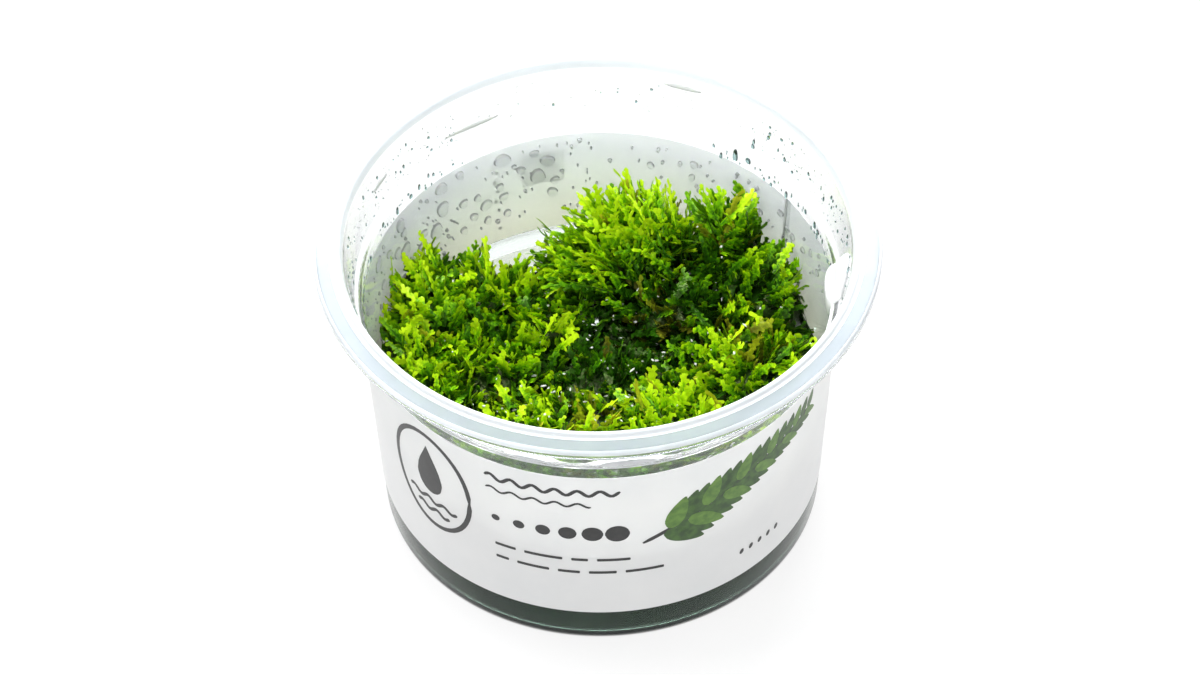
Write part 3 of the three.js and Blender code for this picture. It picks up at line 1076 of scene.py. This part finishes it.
class Tuft:
    """Collects the fronds and cores of one tuft, and the places for drops on it."""

    def __init__(self, seed, cores):
        self.rng = np.random.default_rng(seed)
        self.fronds = []
        self.cores = [(*core, np.zeros(len(core[0]))) for core in cores]
        self.wet_places = []

    def add_frond(self, kinds, placing, levels, top):
        """One frond, and sometimes a place for a drop at its tip."""
        kind_points, kind_faces, kind_growth_and_shade = kinds[self.rng.integers(len(kinds))]
        placed = kept_inside_wall(frond_points(self.rng, kind_points, *placing))
        # Painted light and shade: a frond and its tips are lighter the higher they reach in the clump.
        shade = np.clip((placed[:, 2] - GEL_TOP) / (top - GEL_TOP), 0, 1)
        tips = levels[2] * kind_growth_and_shade * (0.45 + 0.55 * shade)
        growth = levels[0] + levels[1] * shade ** 1.5 + tips
        growth *= np.interp(placed[:, 1], FRONT_SHADE_REACH, FRONT_SHADE_LEVELS)
        nearest = min(hypot(placed[0, 0] - x, placed[0, 1] - y) for x, y in OLIVE_PLACES)
        share = OLIVE_PLACE_SHARE if nearest < OLIVE_RADIUS else OLIVE_SHARE
        olive = np.full(len(placed), OLIVE_STRENGTH if self.rng.random() < share else 0)
        self.fronds.append((placed, kind_faces, growth, olive))
        tip = placed[AXIS_TIP]
        if self.rng.random() < (WET_SHARE if tip[2] < WET_HEIGHT else DRY_SHARE):
            self.wet_places.append(tip + DROP_OFFSET)

    def add_clump(self, clump, kinds):
        """The fronds of one clump; those deep inside it are darkened as painted shade."""
        bundles = clump_bundles(self.rng, clump)
        for i in range(clump.fronds):
            foot, axes, length, depth = frond_placing(self.rng, clump, i, bundles)
            fresh = clump.fresh * bundles[i % len(bundles)].fresh * self.rng.uniform(0.68, 1.3)
            # Painted shade: fronds deep in the clump are darker.
            fresh *= 1 - 0.6 * depth
            family = SIMPLE_FRONDS if depth > 0.4 else clump_family(clump)
            top = clump.top + 0.3 * length
            self.add_frond(kinds[family], (foot, axes, length), CLUMP_LEVELS * fresh, top)

    def make_piece(self, node, thallus):
        """The tuft as one mesh with its growth attribute."""
        meshes = self.fronds + self.cores
        growth = np.concatenate([mesh[2] for mesh in meshes])
        olive = np.concatenate([mesh[3] for mesh in meshes])
        colours = np.stack([growth, np.zeros(len(growth)), olive, np.ones(len(growth))], axis=1)
        name = node.replace("moss", "fronds")
        mesh = add_piece(name, node, [node], *joined(meshes), [thallus], sharp_angle=50)
        attribute = mesh.attributes.new("growth", "FLOAT_COLOR", "POINT")
        attribute.data.foreach_set("color", colours.astype(np.float32).ravel())


def make_moss():
    """The four tufts; gives the places for drops."""
    rng = np.random.default_rng(2)
    kinds = {family: [frond_kind(rng, family) for _ in range(family.kinds)] for family in FAMILIES}
    thallus = moss_thallus()
    mat = mat_placings()
    cores = old_growth_and_shade()
    wet_places = []
    for seed, (node, clumps) in enumerate(TUFTS.items()):
        tuft = Tuft(seed, cores[node])
        for clump in clumps:
            tuft.add_clump(clump, kinds)
        for placing in mat[node]:
            tuft.add_frond(kinds[SIMPLE_FRONDS], placing, MAT_LEVELS, MAT_HIGH + 2)
        tuft.make_piece(node, thallus)
        wet_places += tuft.wet_places
    return wet_places


# Water on the wall

# Rings of a drop from its rim inwards: share of its width and of its bulge
PLAIN_RINGS = [(1.0, 0.0), (0.87, 0.5), (0.5, 0.87)]
RIMMED_RINGS = [(1.16, 0.0), (0.96, 0.07), (0.84, 0.5), (0.5, 0.87)]
SMOOTH_RINGS = [(cos(rise), sin(rise)) for rise in np.arange(9) * pi / 18]
CAP_SIDES = 14
DROP_SAG = 0.15
# How deep a drop's base lies in the wall, and in the film behind the wall
WALL_DEPTH = 0.05
FILM_DEPTH = WALL + 0.03


def wall_drop(azimuth, height, half_width, half_height, bulge, rng, rings=PLAIN_RINGS, sides=CAP_SIDES):
    """A flattened drop on the inner wall, closed in the wall or in the film behind it."""
    depth = FILM_DEPTH if height + 1.2 * half_height < LABEL_TOP else WALL_DEPTH
    lobes = rng.uniform(0, 2 * pi, 2)
    width, rise = np.repeat(rings, sides, axis=0).T
    turn = np.tile(turns(sides), len(rings))
    uneven = 1 + 0.1 * np.cos(2 * turn + lobes[0]) + 0.06 * np.cos(3 * turn + lobes[1])
    z = height + half_height * (width * np.sin(turn) * uneven - DROP_SAG * rise)
    radius = inner_radius(z) - bulge * rise + np.where(rise == 0, depth, 0)
    azimuths = azimuth + half_width * width * np.cos(turn) * uneven / radius
    base = around(inner_radius(height) + depth, azimuth, height)
    top = height - DROP_SAG * half_height
    apex = around(inner_radius(top) - bulge, azimuth, top)
    points = np.concatenate([[base], around(radius, azimuths, z), [apex]])
    return points, ring_faces(len(rings), sides)


DROP_BULGE = 0.6
DROP_ROOM = 1.2
# The higher this power, the more of the drops are small
SMALL_DROP_POWER = 2.5

# Which water a drop is of
CLEAR, PAINTED_DARK, PAINTED_HIGHLIGHT, FILM, PAINTED_SHADE = range(5)

# Drops tried, azimuths in degrees, heights, smallest and largest half width, and how tall they may be
DropZone = namedtuple("DropZone", "count start end low high small large stretch look")
DROP_ZONES = [
    # Left and right of the mouth, and at its back
    DropZone(130, 125, 205, 51.5, 58, 0.08, 0.38, 1.5, PAINTED_DARK),
    DropZone(100, -10, 50, 51.5, 58, 0.08, 0.42, 1.6, PAINTED_DARK),
    DropZone(8, 65, 120, 51.5, 58, 0.12, 0.3, 1.2, PAINTED_DARK),
    # Along the shoulder at the left and the right
    DropZone(60, 125, 205, 46.8, 49.4, 0.15, 0.75, 2.2, PAINTED_DARK),
    DropZone(60, 0, 60, 46.8, 49.4, 0.15, 0.75, 2.2, PAINTED_DARK),
    # Large and small ones on the film, then those at the back right
    DropZone(60, 98, 166, 30, 44.5, 0.75, 1.5, 1.05, FILM),
    DropZone(150, 85, 178, 28, 44.8, 0.13, 0.45, 1, FILM),
    DropZone(45, 10, 85, 36, 44.8, 0.2, 0.8, 1.1, FILM),
    # Fine mist, and the front wall
    DropZone(200, 20, 200, 51.5, 58.5, 0.08, 0.18, 1.3, CLEAR),
    DropZone(70, 180, 360, 42, 58, 0.12, 0.5, 1.2, CLEAR),
]

# Swellings of the water under the shoulder: azimuth and half width in degrees, added height
SWELLINGS = [(-128, 2.5, 1.2), (-107, 6, 2.0), (-84, 8, 2.6), (-51, 4, 1.2), (-30, 6, 0.6)]
LEDGE_START = -150
LEDGE_END = -5
LEDGE_STEPS = 220
LEDGE_LEVELS = 7
LEDGE_TAPER = 4

# The large drop at the right of the mouth: azimuth, height, half sizes and bulge
LARGE_DROP = (radians(-1), 50.0, 4.5, 7.5, 1.8)
LARGE_DROP_SIDES = 40


def ledge_section(azimuth):
    """Points round a section of the ledge water, up the wall and down its front."""
    added = sum(rise * exp(-((azimuth - at) / width) ** 4) for at, width, rise in SWELLINGS)
    end_share = min(1, (azimuth - LEDGE_START) / LEDGE_TAPER, (LEDGE_END - azimuth) / LEDGE_TAPER)
    taper = sqrt(max(end_share, 0.02))
    levels = np.linspace(0, 1, LEDGE_LEVELS)
    heights = SHOULDER_HEIGHT - 0.5 * taper + (0.8 + added) * taper * levels
    front_heights = heights[-2:0:-1]
    bulge = (0.5 + 0.2 * added) * taper * np.sin(pi * levels[-2:0:-1])
    radii = np.concatenate([inner_radius(heights) + WALL_DEPTH, inner_radius(front_heights) - bulge])
    return around(radii, radians(azimuth), np.concatenate([heights, front_heights]))


def make_shoulder_water():
    """Water on the ledge of the shoulder, with rounded swellings, and the large drop, both painted white as a
    highlight.
    """
    sections = [ledge_section(azimuth) for azimuth in np.linspace(LEDGE_START, LEDGE_END, LEDGE_STEPS)]
    ledge = (np.concatenate(sections), tube_faces(tuple(range(len(sections[0]))), LEDGE_STEPS))
    large_drop = wall_drop(*LARGE_DROP, np.random.default_rng(3), SMOOTH_RINGS, LARGE_DROP_SIDES)
    waters = [painted_highlight_water("ledge water with painted highlight", 0.1)]
    add_piece("shoulder_water", "cup", (), *joined([ledge, large_drop]), waters)


# Long, low streaks of water high on the back wall, painted white as highlights: azimuth, height, half width
STREAKS = [(121, 53.5, 5.5), (69, 58.3, 4.0), (152, 56, 2.5)]
STREAK_HALF_HEIGHT = 0.55
STREAK_BULGE = 0.12


def cap_looks(look):
    """The water of each face of a drop; on the film its rim has a painted highlight, with painted shade
    above.
    """
    if look != FILM:
        return [look] * CAP_SIDES * (len(PLAIN_RINGS) + 1)
    looks = []
    for side in range(CAP_SIDES):
        edge = PAINTED_SHADE if sin(2 * pi * (side + 0.5) / CAP_SIDES) > 0.3 else FILM
        looks += [FILM, PAINTED_HIGHLIGHT, edge] + [FILM] * (len(RIMMED_RINGS) - 2)
    return looks


def is_free(place, size, taken):
    """Whether a drop has room beside those in the list."""
    return all(dist(place, other) > size + other_size for other, other_size in taken)


def make_wall_drops():
    """The streaks and all the drops on the inner wall, as one mesh."""
    rng = np.random.default_rng(5)
    drops = []
    looks = []
    for at, height, half_width in STREAKS:
        streak = wall_drop(radians(at), height, half_width, STREAK_HALF_HEIGHT, STREAK_BULGE, rng)
        drops.append(streak)
        looks += cap_looks(PAINTED_HIGHLIGHT)
    taken = []
    for zone in DROP_ZONES:
        rings = RIMMED_RINGS if zone.look == FILM else PLAIN_RINGS
        for _ in range(zone.count):
            azimuth = radians(rng.uniform(zone.start, zone.end))
            height = rng.uniform(zone.low, zone.high)
            size = zone.small + (zone.large - zone.small) * rng.random() ** SMALL_DROP_POWER
            stretch = rng.uniform(0.85, zone.stretch)
            place = (azimuth * inner_radius(height), height)
            if not is_free(place, DROP_ROOM * size, taken):
                continue
            taken.append((place, DROP_ROOM * size))
            bulge = DROP_BULGE * size / (1 + size)
            drops.append(wall_drop(azimuth, height, size, size * stretch, bulge, rng, rings))
            looks += cap_looks(zone.look)
    waters = [
        water("water", (0.96, 0.98, 0.99), (1, 1, 1)),
        # Drops tinted dark teal: painted shade for the dark cup and moss seen through them
        water("drops with painted dark", (0.3, 0.45, 0.45), (0.5, 0.64, 0.64)),
        painted_highlight_water("painted highlight rims of drops", 0.2),
        water("drops on the film", (0.92, 0.94, 0.92), (0.95, 0.97, 0.95)),
        water("painted shade rims of drops", (0.91, 0.925, 0.92), (0.95, 0.965, 0.96)),
    ]
    add_piece("wall_drops", "cup", (), *joined(drops), waters, looks)


BEAD_SIDES = 8
BEAD_RINGS = 5


def bead(rng, place, size):
    """A small, slightly flattened water bead on the moss."""
    stretch = np.array([rng.uniform(0.8, 2.8), rng.uniform(0.7, 1.1), rng.uniform(0.6, 0.9)]) * size
    spin = rng.uniform(0, pi)
    cosine = cos(spin)
    sine = sin(spin)
    rotation = np.array([[cosine, sine, 0], [-sine, cosine, 0], [0, 0, 1]])
    polar, turn = ball(BEAD_RINGS, BEAD_SIDES)
    sides = around(np.sin(polar), turn, np.cos(polar))
    points = place + (np.concatenate([[(0, 0, 1)], sides, [(0, 0, -1)]]) * stretch) @ rotation
    return points, ring_faces(BEAD_RINGS - 1, BEAD_SIDES)


def make_moss_drops(places):
    """Water beads near the tips of some fronds, painted mostly white as glints."""
    rng = np.random.default_rng(12)
    beads = []
    for place in places:
        size = rng.uniform(0.1, 0.27)
        beads.append(bead(rng, place, size))
    waters = [painted_highlight_water("beads with painted glints", 0.4)]
    add_piece("moss_drops", "nutrient_gel", (), *joined(beads), waters)


# Camera, light and table

CAMERA_AIM = Vector((0.0995, 0, 36.381)) * MM
CAMERA_ELEVATION = radians(46.9207)
CAMERA_DISTANCE = 994.963 * MM
CAMERA_ROLL = -0.0193
CAMERA_LENS = 165.45
SENSOR_WIDTH = 36

FLOOR_HALF_SIZE = 6.0
LIT_PLACE = Vector((0, 0, 0.03))
# Colours of the surroundings, from the horizon up to the zenith
SKY = [(0.0, (0.22, 0.24, 0.26)), (0.3, (0.5, 0.51, 0.52)), (0.75, (1, 1, 1))]
SKY_STRENGTH = 0.95


def make_camera():
    """The camera at the photograph's place, in front of the cup and over it."""
    data = bpy.data.cameras.new("camera")
    data.lens = CAMERA_LENS
    data.sensor_width = SENSOR_WIDTH
    camera = new_object("camera", data)
    back = Vector((0, -cos(CAMERA_ELEVATION), sin(CAMERA_ELEVATION)))
    turn = (-back).to_track_quat("-Z", "Y").to_matrix() @ Matrix.Rotation(CAMERA_ROLL, 3, "Z")
    camera.matrix_world = Matrix.Translation(CAMERA_AIM + back * CAMERA_DISTANCE) @ turn.to_4x4()
    bpy.context.scene.camera = camera


def make_light(name, place, size, power):
    """A square soft light that faces the cup, in metres and watts."""
    data = bpy.data.lights.new(name, "AREA")
    data.size = size
    data.energy = power
    light = new_object(name, data)
    light.location = place
    light.rotation_euler = (LIT_PLACE - light.location).to_track_quat("-Z", "Y").to_euler()


def make_floor():
    """The table that the cup stands on."""
    mesh = bpy.data.meshes.new("floor")
    half = FLOOR_HALF_SIZE
    corners = [(-half, -half, 0), (half, -half, 0), (half, half, 0), (-half, half, 0)]
    mesh.from_pydata(corners, [], [(0, 1, 2, 3)])
    mesh.materials.append(lit_table())
    floor = new_object("floor", mesh)


def make_studio():
    """Soft lights, and surroundings that brighten towards the zenith."""
    make_light("key light", (-0.25, -0.02, 1.15), 0.3, 13)
    make_light("front light", (0.1, -1.3, 0.7), 1.0, 2)
    make_light("back light", (0, 1.2, 0.6), 1.0, 42)
    world = bpy.data.worlds.new("studio")
    bpy.context.scene.world = world
    nodes = Nodes(world)
    sky = nodes.ramp(nodes.height("Generated"), SKY)
    background = nodes.add("ShaderNodeBackground", {"Color": sky, "Strength": SKY_STRENGTH})
    nodes.add("ShaderNodeOutputWorld", {"Surface": background.outputs[0]})
    bpy.context.scene.view_settings.view_transform = "Standard"


def main():
    make_camera()
    make_floor()
    make_studio()
    make_cup()
    make_label()
    make_print()
    make_gel()
    make_moss_drops(make_moss())
    make_wall_drops()
    make_shoulder_water()


main()
